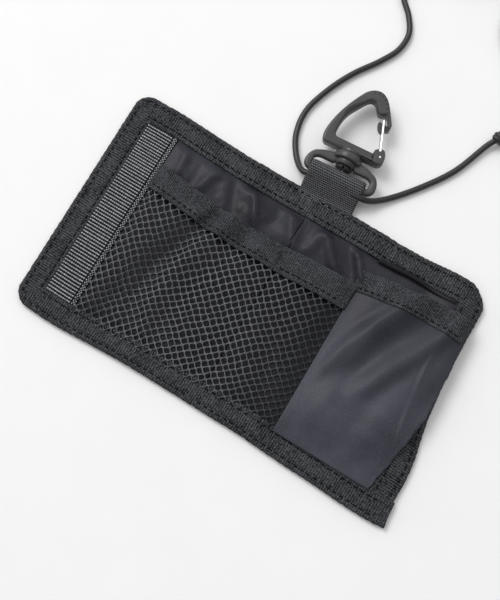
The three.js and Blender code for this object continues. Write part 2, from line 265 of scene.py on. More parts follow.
def knitted(name, dark, light):
    """Twisted yarn, with painted shade darkening it down in the pleat and towards the right side, by the coin pocket.
    """
    k = Mat(name, 0.62)
    yarn = k.ramp(k.noise(2200, 3.0), 0.3, 0.7)
    # Painted shade: the tone is darkened along the pleat's crease, and towards the right by the coin pocket (side).
    pleat_shade = k.mad(k.v, -0.26, k.math("ADD", k.u, 47.5))
    pleat_shade = k.math("POWER", 2.718, k.mul(k.math("POWER", k.mul(pleat_shade, 1 / 6.0), 2.0), -1.0))
    side = k.ramp(k.u, 4.0, 30.0)
    painted_shade = k.mad(pleat_shade, -0.6, k.mad(side, -0.85, 1.0))
    tone = k.math("MULTIPLY", yarn, painted_shade, clamp=True)
    k.color(k.mix(tone, dark, light))
    k.bump(yarn, 0.05, 0.5)
    k.shine(0.08)
    return k.m


ROWS = (2.1, 8.7, 14.45, 21.0)
TAPE = grosgrain("border tape", (0.005, 0.0055, 0.0065), (0.125, 0.129, 0.138), rows=ROWS)
TAPE_FINE = grosgrain("pocket tape", (0.008, 0.0085, 0.010), (0.112, 0.116, 0.126), rib=0.9)
# Painted shade: the coin pocket's satin is darker towards its top, under the pocket's tape.
SATIN = satin("satin", (0.014, 0.0145, 0.020), (0.083, 0.085, 0.108), 0.40, 0.15, (84.0, 30.0))
# Painted shade: the lining is darkened to 0.3 of its tone under the mesh pocket, below about its top edge; the
# banknote pocket's hem, short in v, is darkened the same way.
LINING = satin("satin lining", (0.004, 0.0042, 0.0055), (0.048, 0.049, 0.061), 0.40, 0.15, (62.0, 72.0))
WEBBING = webbing("webbing")
NYLON = nylon("nylon shell", (0.010, 0.0105, 0.012), (0.046, 0.048, 0.054))
PLASTIC = moulded("moulded plastic", (0.040, 0.040, 0.041), (0.058, 0.058, 0.059), 0.34)
# Dark plastic for the grip ridges and coil band, and painted shade on the hook's facet.
DARK_PLASTIC_AND_SHADE = moulded("dark plastic and painted shade", (0.006, 0.006, 0.0065), (0.010, 0.010, 0.0105), 0.4, 0.4)
WIRE = plain("steel wire", (0.70, 0.71, 0.73), (0.86, 0.87, 0.89), 0.22, 1.0, shine=0.5)
THREAD = plain("sewing thread", (0.002, 0.002, 0.0022), (0.010, 0.010, 0.011), 0.6, 0.0, 2500)
HOOK_BASE = nylon("hook tape ground", (0.004, 0.004, 0.0045), (0.026, 0.027, 0.029))
HOOKS = plain("hook tape hooks", (0.22, 0.228, 0.238), (0.50, 0.515, 0.53), 0.5, 0.0, 1500)
LOOPS = plain("loop tape pile", (0.008, 0.009, 0.010), (0.050, 0.052, 0.058), 0.9, 0.0, 2500)
NET = knitted("knitted net", (0.022, 0.023, 0.026), (0.20, 0.204, 0.22))


# ------------------------------------------------------------------ mesh helpers
FOLD_A, FOLD_B = (-48.0, -30.0), (24.0, 38.0)


def attach(o, x0, x1, body=None):
    if body:
        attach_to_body(o, body)
    elif x1 <= FOLD_A[0]:
        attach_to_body(o, "left_panel")
    elif x0 >= FOLD_B[1]:
        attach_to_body(o, "right_panel")
    elif x0 >= FOLD_A[1] and x1 <= FOLD_B[0]:
        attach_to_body(o, "middle_panel")
    elif x1 <= FOLD_B[0] + 1e-6:
        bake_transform(o)
    else:
        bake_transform(o)
    return o


def build(name, verts, faces, uv, material, nodes=(), body=None):
    me = bpy.data.meshes.new(name)
    me.from_pydata((np.asarray(verts) * MM).tolist(), [], faces)
    me.polygons.foreach_set("use_smooth", np.array([len(f) < 5 for f in faces]))
    if uv is not None:
        layer = me.uv_layers.new(name="UVMap")
        loops = np.empty(len(me.loops), np.int32)
        me.loops.foreach_get("vertex_index", loops)
        layer.data.foreach_set("uv", np.asarray(uv, np.float32)[loops].ravel())
    me.materials.append(material)
    me.validate()
    o = bpy.data.objects.new(name, me)
    scene.collection.objects.link(o)
    x = np.asarray(verts)[:, 0]
    attach(o, x.min(), x.max(), body)
    if nodes:
        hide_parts(*nodes)
    return o


def caps(faces, v):
    """Closes the cut that parting a piece leaves at the middle."""
    sides = {(f[i], f[(i + 1) % len(f)]) for f in faces for i in range(len(f))}
    onward = {b: a for a, b in sides if (b, a) not in sides}
    found = []
    while onward:
        loop = [next(iter(onward))]
        while loop[-1] in onward:
            loop.append(onward.pop(loop[-1]))
        if loop[0] == loop[-1] and len(loop) > 3 and np.abs(v[loop, 0]).max() < 3:
            found.append(tuple(loop[:-1]))
    return found


def emit(name, verts, faces, uv, material, slot, nodes=(), body=None):
    """Makes the piece, in two halves that meet at the middle when it crosses both folds."""
    v = np.asarray(verts, float)
    if body or v[:, 0].min() >= FOLD_A[1] or v[:, 0].max() <= FOLD_B[0]:
        return [build(name, v, faces, uv, material, nodes, body)]
    out = []
    middle = np.array([v[list(f), 0].mean() for f in faces])
    for side, keep in (("left", middle < 0), ("right", middle >= 0)):
        fs = [f for f, k in zip(faces, keep) if k]
        used = sorted({i for f in fs for i in f})
        index = {old: new for new, old in enumerate(used)}
        fs = [tuple(index[i] for i in f) for f in fs]
        fs += caps(fs, v[used])
        chosen = [n for n in nodes if not n.endswith({"left": "_right", "right": "_left"}[side])]
        out.append(build(f"{name}_{side}", v[used], fs, None if uv is None else np.asarray(uv)[used],
                         material, chosen))
    return out


def slab(surface, nu, nv, thick, u_range=(0, 1), v_range=(0, 1)):
    """A sheet of the given thickness with rounded edges. surface(U, V) gives X, Y, Z arrays, in mm."""
    us, vs = np.linspace(*u_range, nu), np.linspace(*v_range, nv)
    U, V = np.meshgrid(us, vs, indexing="ij")
    P = np.stack(surface(U, V), -1)
    du, dv = np.gradient(P, axis=0), np.gradient(P, axis=1)
    N = np.cross(du, dv)
    N /= np.linalg.norm(N, axis=-1, keepdims=True) + 1e-12
    eu = du / (np.linalg.norm(du, axis=-1, keepdims=True) + 1e-12)
    ev = dv / (np.linalg.norm(dv, axis=-1, keepdims=True) + 1e-12)
    su = np.concatenate([[0], np.cumsum(np.linalg.norm(np.diff(P, axis=0), axis=-1).mean(1))])
    sv = np.concatenate([[0], np.cumsum(np.linalg.norm(np.diff(P, axis=1), axis=-1).mean(0))])
    SU, SV = np.meshgrid(su, sv, indexing="ij")
    uv = np.stack([SU, SV], -1).reshape(-1, 2)
    h = thick / 2
    top, bottom = (P + N * h).reshape(-1, 3), (P - N * h).reshape(-1, 3)
    n = nu * nv
    idx = np.arange(n).reshape(nu, nv)
    a, b, c, d = idx[:-1, :-1].ravel(), idx[1:, :-1].ravel(), idx[1:, 1:].ravel(), idx[:-1, 1:].ravel()
    faces = list(zip(a.tolist(), b.tolist(), c.tolist(), d.tolist()))
    faces += list(zip((a + n).tolist(), (d + n).tolist(), (c + n).tolist(), (b + n).tolist()))
    loop = [(i, 0) for i in range(nu)] + [(nu - 1, j) for j in range(1, nv)]
    loop += [(i, nv - 1) for i in range(nu - 2, -1, -1)] + [(0, j) for j in range(nv - 2, 0, -1)]
    rim, rim_uv = [], []
    for i, j in loop:
        out = np.zeros(3)
        if i == 0: out -= eu[i, j]
        if i == nu - 1: out += eu[i, j]
        if j == 0: out -= ev[i, j]
        if j == nv - 1: out += ev[i, j]
        rim.append(P[i, j] + out / np.linalg.norm(out) * h * 0.9)
        rim_uv.append(uv[i * nv + j])
    m = len(loop)
    for k in range(m):
        i, j = loop[k]
        i2, j2 = loop[(k + 1) % m]
        p, q, r, s = i * nv + j, i2 * nv + j2, 2 * n + k, 2 * n + (k + 1) % m
        faces.append((p, r, s, q))
        faces.append((r, p + n, q + n, s))
    verts = np.concatenate([top, bottom, np.array(rim)])
    return verts, faces, np.concatenate([uv, uv, np.array(rim_uv)])


def smooth(x, a, b):
    t = np.clip((x - a) / (b - a), 0, 1)
    return t * t * (3 - 2 * t)


def hill(x, centre, width):
    return np.exp(-((x - centre) / width) ** 2)


def rumple(x, y, scale, seed=0.0):
    """Smooth noise, about -1 to 1."""
    flat = zip(np.ravel(x), np.ravel(y))
    z = np.array([noise.noise(Vector((a / scale, b / scale, seed))) for a, b in flat])
    return z.reshape(np.shape(x))


STITCH_R, STITCH_PITCH = 0.29, 3.2


def capsules(points, pitch, length, r, sink=0.12):
    """Stitches along a line of points: short threads whose ends dip into the cloth."""
    p = np.asarray(points, float)
    s = np.concatenate([[0], np.cumsum(np.linalg.norm(np.diff(p, axis=0), axis=1))])
    verts, faces = [], []
    count = int(s[-1] / pitch)
    stations = np.array([0, 0.06, 0.25, 0.5, 0.75, 0.94, 1])
    radii = np.array([0.02, 0.7, 1, 1, 1, 0.7, 0.02]) * r
    for k in range(count):
        at = (k + 0.5) * pitch - length / 2 + stations * length
        c = np.stack([np.interp(at, s, p[:, i]) for i in range(3)], -1)
        c[:, 2] += r * 0.4 - sink * (np.abs(stations - 0.5) * 2) ** 4 * 4
        t = c[-1] - c[0]
        t /= np.linalg.norm(t)
        side = np.cross(t, (0, 0, 1.0))
        side /= np.linalg.norm(side) + 1e-9
        up = np.cross(side, t)
        base = len(verts)
        for cc, rr in zip(c, radii):
            for a in range(6):
                w = a * math.pi / 3
                verts.append(cc + rr * (math.cos(w) * side + math.sin(w) * up))
        for i in range(6):
            for a in range(6):
                b = (a + 1) % 6
                q = base + i * 6
                faces.append((q + a, q + b, q + 6 + b, q + 6 + a))
    return np.array(verts), faces


def joined(parts):
    """Several pairs of vertices and faces as one."""
    verts, faces = [], []
    for v, f in parts:
        n = len(verts)
        verts.extend(v.tolist())
        faces.extend(tuple(i + n for i in q) for q in f)
    return np.array(verts), faces


def sew(name, lines, pitch=STITCH_PITCH, length=2.2, body=None):
    # Whole stitches stay in one half.
    verts, faces = joined(capsules(line, pitch, length, STITCH_R) for line in lines)
    return emit(name, verts, faces, None, THREAD, "border_tape", (), body)


def poly(cu, points, closed=False):
    """Adds a line of straight steps to a curve, from points in mm."""
    sp = cu.splines.new("POLY")
    sp.points.add(len(points) - 1)
    for q, p in zip(sp.points, points):
        q.co = (*(np.asarray(p) * MM), 1)
    sp.use_cyclic_u = closed


# ------------------------------------------------------------------ neck cord: one length, both ends in the tab's loop
CORD_D, COIL, COIL_R, BUNDLE = 2.7, (5.0, 200.0, 4.9), 15.5, 4.05
low, side = CORD_D / 2, COIL_R + BUNDLE + 0.3 + CORD_D / 2
KNOT, KNOT_DIR = (53.9, 117.6), (0.5, 0.866)


def along(d, z=low):
    return (KNOT[0] + KNOT_DIR[0] * d, KNOT[1] + KNOT_DIR[1] * d, z)


RIGHT = [(2.9, 59.0, 6.3), (9.6, 59.54, 6.3), (15.8, 60.03, 6.3), (18.2, 60.9, 5.1), (21.6, 63.6, 3.0),
         (27.2, 69.6, 1.6), (36, 81, low), (44.4, 94.6, low), along(-6.25, 2.2), along(-3.25, 3.1),
         along(3.25, 3.1), along(7.25, 2.2), (51.4, 139, low), (41, 152.4, low), (30.6, 164.4, low),
         (27.6, 176, low), (COIL[0] + side, 188, low)]
LEFT = [(2.6, 58.99, 6.3), (-4, 58.47, 6.3), (-10.1, 58, 6.3), (-12.4, 58, 5.4), (-15.8, 60.2, 3.3),
        (-20.4, 65.4, 1.8), (-24.6, 73, low), (-26.4, 84, low), (-23.4, 97, low), (-17.6, 110.4, low),
        (-9.8, 122.8, low), (-5.6, 132, low), (-5.6, 141, low), (-10.4, 149, low), (-17, 156, low),
        (-20.5, 168, low), (COIL[0] - side, 184, low)]


def spline(points, per=10):
    """A centripetal Catmull-Rom curve through the points."""
    p = [np.array(q, float) for q in points]
    p = [2 * p[0] - p[1]] + p + [2 * p[-1] - p[-2]]
    out = []
    for i in range(1, len(p) - 2):
        t = [0.0]
        for k in range(3):
            t.append(t[-1] + np.linalg.norm(p[i + k] - p[i + k - 1]) ** 0.5 + 1e-9)
        for s in np.linspace(t[1], t[2], per, endpoint=False):
            a1 = (t[1] - s) / (t[1] - t[0]) * p[i - 1] + (s - t[0]) / (t[1] - t[0]) * p[i]
            a2 = (t[2] - s) / (t[2] - t[1]) * p[i] + (s - t[1]) / (t[2] - t[1]) * p[i + 1]
            a3 = (t[3] - s) / (t[3] - t[2]) * p[i + 1] + (s - t[2]) / (t[3] - t[2]) * p[i + 2]
            b1 = (t[2] - s) / (t[2] - t[0]) * a1 + (s - t[0]) / (t[2] - t[0]) * a2
            b2 = (t[3] - s) / (t[3] - t[1]) * a2 + (s - t[1]) / (t[3] - t[1]) * a3
            out.append((t[2] - s) / (t[2] - t[1]) * b1 + (s - t[1]) / (t[2] - t[1]) * b2)
    return out + [p[-2]]


def coil_turns():
    """Turns laid in the ring's round section, from its right side to its left, heading up the page."""
    d = CORD_D
    seats = [(d, -d), (0, -d), (-d, -d), (-d, 0), (0, 0), (d, 0), (0.5 * d, d), (-0.5 * d, d), (-0.5 * d, d)]
    turns, steps, pts = 8.5, 28, []
    for k in range(int(turns * steps) + 1):
        at = k / steps
        i = min(int(at), len(seats) - 1)
        j = min(i + 1, len(seats) - 1)
        w = smooth(at - int(at), 0.72, 1.0)
        dr = seats[i][0] * (1 - w) + seats[j][0] * w
        dz = seats[i][1] * (1 - w) + seats[j][1] * w
        a = 2 * math.pi * at
        r = COIL_R + dr
        pts.append((COIL[0] + r * math.cos(a), COIL[1] + r * math.sin(a), COIL[2] + dz))
    return pts


turns = coil_turns()
last = turns[-1]
leave = [(last[0] - 0.4, last[1] - 6, last[2] - 0.8), (COIL[0] - side + 2.4, 186, 3.4)]
route = spline(RIGHT + turns[2:] + leave + LEFT[::-1][1:], 6)
cord_length = sum(np.linalg.norm(b - a) for a, b in zip(route, route[1:]))
curve = bpy.data.curves.new("neck_cord", "CURVE")
curve.dimensions = "3D"
curve.bevel_depth, curve.bevel_resolution, curve.use_fill_caps = CORD_D / 2 * MM, 3, True
poly(curve, route)
cord = bpy.data.objects.new("neck_cord", curve)
scene.collection.objects.link(cord)
curve.materials.append(braid("braided cord", cord_length / 1.15, 7, (0.004, 0.004, 0.004), (0.024, 0.024, 0.0235)))
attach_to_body(cord, "middle_panel")
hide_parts("neck_cord_left", "neck_cord_right", "cord_coil")

bpy.context.view_layer.update()


# ------------------------------------------------------------------ the wallet's lie on the table
HX, HY = 93.0, 55.0
TAPE_W = 11  # the folded border tape
SEAMS = (2.3, 8.9)  # its sewn rows, from its outer edge


def softened(along, points, values, n):
    """The values between the points, with their corners rounded over n steps."""
    w = np.hanning(n)
    return np.convolve(np.pad(np.interp(along, points, values), n // 2, "edge"), w / w.sum(), "valid")


_ty, _tx = np.linspace(-60, 60, 241), np.linspace(-100, 100, 401)
_edge = softened(_ty, [-60, -55, -52, -43, -33, -24.5, -16, -7, 2, 11, 21, 31, 46, 51, 55, 60],
                  [94, 94, 93.2, 92.6, 92.6, 91.6, 89.6, 88.0, 87.0, 86.2, 85.7, 85.4, 85.2, 84.6, 83.6, 83], 13)
_top = softened(_tx, [-94, -72, -60, -50, -34, -22, 0, 22, 38, 54, 70, 86],
                [53.5, 53.9, 53.3, 52.8, 52.2, 52.2, 52.7, 52.9, 52.5, 52.7, 53.5, 53.5], 25)
_bottom = softened(_tx, [-93, -80, -70, -58, -48, -38, -28, -8, 12, 22, 32, 42, 62, 72, 84, 94],
                   [-54.8, -55.7, -55.9, -55.2, -54.7, -54.2, -54.0, -54.0, -54.2, -54.0, -54.5, -55.0, -55.5,
                    -56.1, -56.3, -55.5], 25)


def right_edge(y):
    return np.interp(y, _ty, _edge)


def ridge(y):
    """How high the right border's inner edge stands: it curls up beside the coin pocket."""
    return 4.3 * smooth(y, -46, -14) * (1 - 0.5 * smooth(y, 36, 54))


def top_line(x):
    return np.interp(x, _tx, _top)


def bottom_line(x):
    return np.interp(x, _tx, _bottom)


def lie(x, y):
    """Where a point of the flat pattern lies on the table: x, y and its lift."""
    h = ridge(y)
    span = np.sqrt(TAPE_W ** 2 - h * h)
    inner = right_edge(y) - span
    on_tape = x > HX - TAPE_W
    w = (x - (HX - TAPE_W)) / TAPE_W
    x_tape = inner + w * span
    x_body = x + (inner - (HX - TAPE_W)) * smooth(x, 42, HX - TAPE_W)
    left = -91.6 - 1.6 * y / HY + HX
    nx = np.where(on_tape, x_tape, x_body + left * smooth(-x, 20, HX))
    ny = y + (top_line(x) - HY) * smooth(y, 15, HY - 9) + (bottom_line(x) + HY) * smooth(-y, 15, HY - 9)
    z = np.where(on_tape, h * (1 - np.clip(w, 0, 1)), h * smooth(x, 62, HX - TAPE_W))
    z = z + 0.9 * hill(x, -28, 4.5) * smooth(y, 14, 44) + 1.1 * hill(x, 33, 4) * smooth(y, 20, 46)
    z = z + 0.5 * hill(x, -33, 6) * smooth(-y, 20, 50) + 0.14 * (1 + rumple(x, y, 26, 3.0))
    return nx, ny, z


def rounded(x, y):
    """The border's corners: two round, one cut off nearly straight."""
    nx, ny = x.copy(), y.copy()
    for sx, sy, r, p in ((-1, 1, 6.5, 1.9), (-1, -1, 6.0, 1.7), (1, 1, 8.0, 1.45)):
        cx, cy = sx * (HX - r), sy * (HY - r)
        ax, ay = (x - cx) * sx, (y - cy) * sy
        inside = (ax > 0) & (ay > 0)
        m, e = np.maximum(ax, ay), (np.abs(ax) ** p + np.abs(ay) ** p) ** (1 / p) + 1e-9
        nx = np.where(inside, cx + (x - cx) * m / e, nx)
        ny = np.where(inside, cy + (y - cy) * m / e, ny)
    return nx, ny


def around(S):
    """The folded tape's path: over the top, round the edge and under. Gives depth from the edge, and height."""
    top, bottom = 2.22, 0.32
    r = (top - bottom) / 2
    run, arc = 11 - r, math.pi * r
    s = S * (2 * run + arc)
    a = np.clip((s - run) / r, 0, math.pi)
    d = np.where(s < run, 11 - s, np.where(s < run + arc, r - r * np.sin(a), r + (s - run - arc)))
    z = np.where(s < run, top, np.where(s < run + arc, bottom + r + r * np.cos(a), bottom))
    return d, z


def tape_side(side):
    def f(U, S):
        d, z = around(S)
        long = side in ("top", "bottom")
        t = U * (2 * HX if long else 2 * HY)
        # The stitches draw the edge in at every needle hole, and the tape swells between them.
        edge = 1 - smooth(d, 0, 3.5)
        draw = 0.5 + 0.5 * np.sin(2 * math.pi * t / STITCH_PITCH + 0.8 * rumple(t, t * 0, 9.0, 2.0))
        d = d + edge * (0.16 * draw + 0.20 * rumple(t, t * 0, 3.0, 5.0)) + 0.25 * rumple(t, t * 0, 1.3, 1.0) * (d > 9)
        if side == "top":
            x, y = (-HX + d) * (1 - U) + (HX - d) * U, HY - d
        elif side == "bottom":
            x, y = (-HX + d) * (1 - U) + (HX + 0.5) * U, -HY + d
        elif side == "left":
            x, y = -HX + d, (-HY + d) * (1 - U) + (HY - d) * U
        else:
            x, y = HX - d, (-HY + 11.2) * (1 - U) + (HY - d) * U
        x, y = rounded(x, y)
        nx, ny, lift = lie(x, y)
        under = np.clip((z - 0.3) / 1.9, 0, 1)
        groove, swell = (sum(hill(d, at, width) for at in SEAMS) for width in (0.55, 1.6))
        pucker = (0.20 * rumple(x, y, 2.4, 8.0) + 0.20 * draw * swell - 0.26 * groove) * under
        near_fold = hill(x, -27, 7) + hill(x, 32, 7)
        pucker = pucker + 0.30 * np.sin(t * 2.6) * near_fold * under * (d > 1.2)
        return nx, ny, z + lift * np.where(x > HX - 30, 1, 0.25 + 0.75 * under) + pucker
    return f


def squared(result, axis):
    """Lays the ribs square across a tape, from its real position along one axis."""
    v, faces, uv = result
    uv = uv.copy()
    uv[:, 0] = v[:, axis]
    return v, faces, uv


def flip(result):
    v, faces, uv = result
    return v, [tuple(reversed(f)) for f in faces], uv


TOP_NODES = ["binding_top_left", "binding_top_middle", "binding_top_right"]
BOTTOM_NODES = ["binding_bottom_left", "binding_bottom_middle", "binding_bottom_right"]
emit("border_top", *squared(slab(tape_side("top"), 340, 44, 0.5), 0), TAPE, "border_tape", TOP_NODES)
emit("border_bottom", *squared(flip(slab(tape_side("bottom"), 340, 44, 0.5)), 0), TAPE, "border_tape", BOTTOM_NODES)
emit("border_left", *squared(slab(tape_side("left"), 200, 44, 0.5), 1), TAPE, "border_tape", ["binding_left"])
emit("border_right", *squared(flip(slab(tape_side("right"), 180, 44, 0.5)), 1), TAPE, "border_tape",
     ["binding_right"], "right_panel")


def on_tape(side, d, a, b, n=160):
    t = np.linspace(a, b, n)
    row = np.full(n, {"top": HY - d, "bottom": -HY + d, "left": -HX + d, "right": HX - d}[side])
    x, y = (t, row) if side in ("top", "bottom") else (row, t)
    x, y = rounded(x, y)
    nx, ny, lift = lie(x, y)
    z = 2.22 + 0.24 + lift
    return np.stack([nx, ny, z], -1)


rows = []
for d in SEAMS:
    rows += [on_tape("left", d, -HY + d + 1, HY - d - 1), on_tape("right", d, -HY + 12, HY - d - 1)]
sew("stitches_border_left", rows[0::2])
sew("stitches_border_right", rows[1::2], body="right_panel")
# Long rows are sewn in two lengths, one on each side of the middle.
for tag, a, b in (("left", -HX + 3, -1.0), ("right", 1.0, HX - 3)):
    lines = []
    for d in SEAMS:
        lines += [on_tape("top", d, a + (d - 2 if a < -50 else 0), b - (d - 2 if b > 50 else 0)),
                  on_tape("bottom", d, a + (d - 2 if a < -50 else 0), b)]
    sew(f"stitches_border_long_{tag}", lines)


# ------------------------------------------------------------------ shell, lining, hook and loop tapes
def shell(U, V):
    x, y = -HX + 1.6 + U * (2 * HX - 3.2), -HY + 1.6 + V * (2 * HY - 3.2)
    x, y = rounded(x, y)
    nx, ny, lift = lie(x, y)
    rim = np.maximum(smooth(np.abs(x), HX - 13.5, HX - 11.5), smooth(np.abs(y), HY - 13.5, HY - 11.5))
    strip = smooth(x, 40.0, 40.9) * (1 - smooth(x, 56.5, 57.4))
    z = 0.42 + 0.72 * np.maximum(rim, strip)
    return nx, ny, z + lift * np.where(x > 60, 1, 0.3)


SHELL = emit("shell_cloth", *slab(shell, 150, 88, 0.7), NYLON, "shell", ["shell_left", "shell_middle", "shell_right"])


def satin_relief(x, y):
    """Puckers of the lining in the band above the mesh pocket."""
    band = smooth(y, 22, 31) * (1 - smooth(y, 39.5, 43.5))
    z = 0.7 + 0.9 * rumple(x * 0.9 + y * 0.25, y * 0.35, 6.0, 1.5) + 0.35 * rumple(x, y * 0.6, 2.6, 2.5)
    for at, lean, w, h in ((-60, 0.1, 2.6, 0.9), (-46, -0.35, 3.0, 1.2), (-33, 0.3, 2.4, -0.8), (-22, 0.5, 2.4, 1.2),
                           (-12, -0.3, 3.4, -0.5), (-3, 0.45, 4.2, 1.4), (8, -0.2, 3.4, 0.7), (16, 0.8, 3.2, 1.5),
                           (25, 0.5, 2.2, -0.9), (31, 0.7, 2.4, 1.3)):
        z = z + 1.45 * h * hill(x - at + lean * (y - 35), 0, w * 0.85)
    return z * band * smooth(x, -70, -62) * (1 - smooth(x, 38, 48))


def lining(U, V):
    x, y = -HX + 9.6 + U * (2 * HX - 19.2), -HY + 9.6 + V * (2 * HY - 19.2)
    nx, ny, lift = lie(x, y)
    rim = np.maximum(smooth(np.abs(x), HX - 14, HX - 11), smooth(np.abs(y), HY - 14, HY - 11))
    z = 2.05 - 0.42 * rim + np.maximum(satin_relief(x, y), -0.35)
    return nx, ny, z + lift * np.where(x > 60, 1, 0.35)


LIN = emit("lining_cloth", *slab(lining, 170, 96, 0.3), LINING, "satin",
           ["lining_left", "lining_middle", "lining_right"])


def hook_edge(y, s):
    """Across the hook tape, s from 0 at its outer side to 1: x in the flat pattern."""
    return (-82.2 + 0.4 * (y / -44.0)) + s * 15.0


def hook_base(U, V):
    y = -HY + 10.2 + V * (2 * HY - 20.6)
    x = hook_edge(y, U)
    nx, ny, lift = lie(x, y)
    rim = smooth(np.abs(y), HY - 13, HY - 11)
    return nx, ny, 2.62 - 0.5 * rim + lift * 0.35


emit("hook_tape_ground", *slab(hook_base, 16, 90, 0.55), HOOK_BASE, "hook_tape", ["hook_tape"])
verts, faces = [], []
rng = np.random.default_rng(7)
for row in range(60):
    for col in range(15):
        selvage = col > 11
        s = 0.034 + col * 0.0705 if not selvage else 0.90 + (col - 12) * 0.042
        y = -43.4 + row * 1.455 + (0.0 if not selvage else 0.73 * (col % 2))
        if y > 43.2:
            continue
        x = hook_edge(y, s)
        nx, ny, lift = lie(np.array([x]), np.array([y]))
        cx, cy, cz = nx[0], ny[0], 2.86 + lift[0] * 0.35
        w, d, h = 0.55 + rng.uniform(-0.05, 0.05), 0.37 + rng.uniform(-0.05, 0.05), 0.60 + rng.uniform(-0.12, 0.08)
        if selvage:
            w, d, h = 0.26, 0.42, 0.3
        tilt = rng.uniform(-0.1, 0.1)
        base = len(verts)
        for lv, (rr, zz) in enumerate(((1.0, 0.0), (0.95, 0.5), (0.6, 0.88))):
            for a in range(8):
                t = a * math.pi / 4 + 0.39
                verts.append((cx + w * rr * math.cos(t) + tilt * zz, cy + d * rr * math.sin(t) + tilt * zz,
                              cz + h * zz))
        verts.append((cx + tilt, cy + tilt, cz + h))
        for lv in range(2):
            for a in range(8):
                b = (a + 1) % 8
                q = base + lv * 8
                faces.append((q + a, q + b, q + 8 + b, q + 8 + a))
        for a in range(8):
            faces.append((base + 16 + a, base + 16 + (a + 1) % 8, base + 24))
emit("hook_tape_hooks", verts, faces, None, HOOKS, "hook_tape", (), "left_panel")
ys = np.linspace(-43, 43, 160)
hx, hy, hz = lie(hook_edge(ys, 0.862), ys)
sew("stitches_hook_tape", [np.stack([hx, hy, 2.92 + hz * 0.35], -1)], pitch=3.0, body="left_panel")


def loop_tape(U, V):
    x, y = 41.3 + U * 14.8, -HY + 11.4 + V * (2 * HY - 22.8)
    nx, ny, _ = lie(x, y)
    return nx, ny, 0.36 + 0.05 * rumple(x, y, 0.9)


emit("loop_tape_pile", *slab(loop_tape, 40, 150, 0.6), LOOPS, "loop_tape", ["loop_tape"], "right_panel")


# ------------------------------------------------------------------ mesh pocket
def pocket_top(x):
    return np.interp(x, [-67.5, -48, -27.6, -8, 14, 33.1], [29.0, 26.6, 24.6, 24.9, 25.8, 26.8])


def pocket_tape_low(x):
    return pocket_top(x) - 12.0 + 0.5 * np.sin((x + 60) / 20)


def net_height(x, y):
    """The mesh pocket's front: slightly full, with a slanting pleat along the left fold."""
    edge = smooth(y, -45, -38) * smooth(x, -68, -61) * (1 - smooth(x, 24, 34))
    full = 2.7 * np.sin(np.clip((y + 47) / 70, 0, 1) * math.pi * 0.62)
    crease = np.interp(y, [-45, -28, -9, 5, 20], [-33, -38, -38, -33, -27])
    z = full - 3.6 * hill(x - crease + 6.5, 0, 3.8) + 1.3 * hill(x - crease - 0.5, 0, 3.4)
    z = z - 1.8 * hill(x - crease - 10, 0, 4.5)
    z = z + 0.9 * hill((x + 56) + 0.4 * (y + 10), 0, 5) + 0.7 * rumple(x, y, 15, 5.0)
    z = z + 0.8 * hill((x - 2) + 0.9 * (y + 18), 0, 6) - 2.2 * hill((x - 19) + 0.5 * (y + 18), 0, 8)
    return 3.15 + np.maximum(z, -0.3) * edge


def net():
    """Knitted net: round holes on a slanting grid, with thin rounded strands between them."""
    px, py = 4.15, 1.92
    flat = (px * px / 4 + py * py) / 2
    c0, c1 = flat / (px / 2), (flat - py * py) / (px / 2)
    corners = [(c0, 0), (c1, py), (-c1, py), (-c0, 0), (-c1, -py), (c1, -py)]
    rim = []
    for k in range(6):
        a, b = np.array(corners[k]), np.array(corners[(k + 1) % 6])
        for t in ((0, 0.25, 0.5, 0.75) if k % 3 != 1 else (0,)):
            rim.append(a * (1 - t) + b * t)
    n = len(rim)
    pts, faces = [], []
    for j in range(-1, 39):
        for i in range(-1, 27):
            cx, cy = -66.2 + (i + 0.5 * (j % 2)) * px, -45.0 + j * py
            if cx > 35.0 or cx < -67.4 or cy < -45.6 or cy > pocket_top(cx) - 9.0:
                continue
            base = len(pts)
            for qx, qy in rim:
                r = math.hypot(qx, qy)
                ca, sa = qx / r, qy / r
                hole = 0.47 * r + 0.51
                lip = hole + 0.45 * min(r - hole, 0.24)
                # outer top, hole's upper lip, waist, lower lip, outer bottom
                pts.append((cx + qx, cy + qy, 0.22))
                pts.append((cx + lip * ca, cy + lip * sa, 0.14))
                pts.append((cx + hole * ca, cy + hole * sa, 0.0))
                pts.append((cx + lip * ca, cy + lip * sa, -0.14))
                pts.append((cx + qx, cy + qy, -0.22))
            for k in range(n):
                m = (k + 1) % n
                for q in range(4):
                    a, b = base + k * 5 + q, base + m * 5 + q
                    faces.append((a, b, b + 1, a + 1))
    P = np.array(pts)
    key, inverse = np.unique(np.round(P, 3), axis=0, return_inverse=True)
    inverse = inverse.ravel()
    faces = [tuple(int(inverse[i]) for i in f) for f in faces]
    x, y, t = key[:, 0], key[:, 1], key[:, 2]
    jx = 0.42 * rumple(x, y, 4.2, 11.0) + 0.9 * rumple(x, y, 19.0, 12.0)
    jy = 0.42 * rumple(x, y, 4.2, 23.0) + 0.9 * rumple(x, y, 19.0, 24.0)
    # Knitted yarn is uneven: the strands swell where they cross.
    nx, ny, lift = lie(x + jx, y + jy)
    z = net_height(x, y) + t * (1 + 0.25 * rumple(x, y, 1.1, 31.0)) + lift * 0.5
    return np.stack([nx, ny, z], -1), faces, np.stack([x, y], -1)


v, f, uv = net()
MESH = emit("mesh_net", v, f, uv, NET, "mesh", ["mesh_pocket_left", "mesh_pocket_middle"])


def net_tape(U, V):
    x = -67.4 + U * 101.4
    y = pocket_tape_low(x) * (1 - V) + pocket_top(x) * V
    nx, ny, lift = lie(x, y)
    z = np.maximum(net_height(x, y), 3.35) + 0.55 + 0.5 * V + 0.25 * rumple(x, y, 9.0, 41.0)
    z = z + 0.9 * hill(x - 0.25 * (y - 20), -30.5, 2.6)
    return nx, ny, z + lift * 0.5


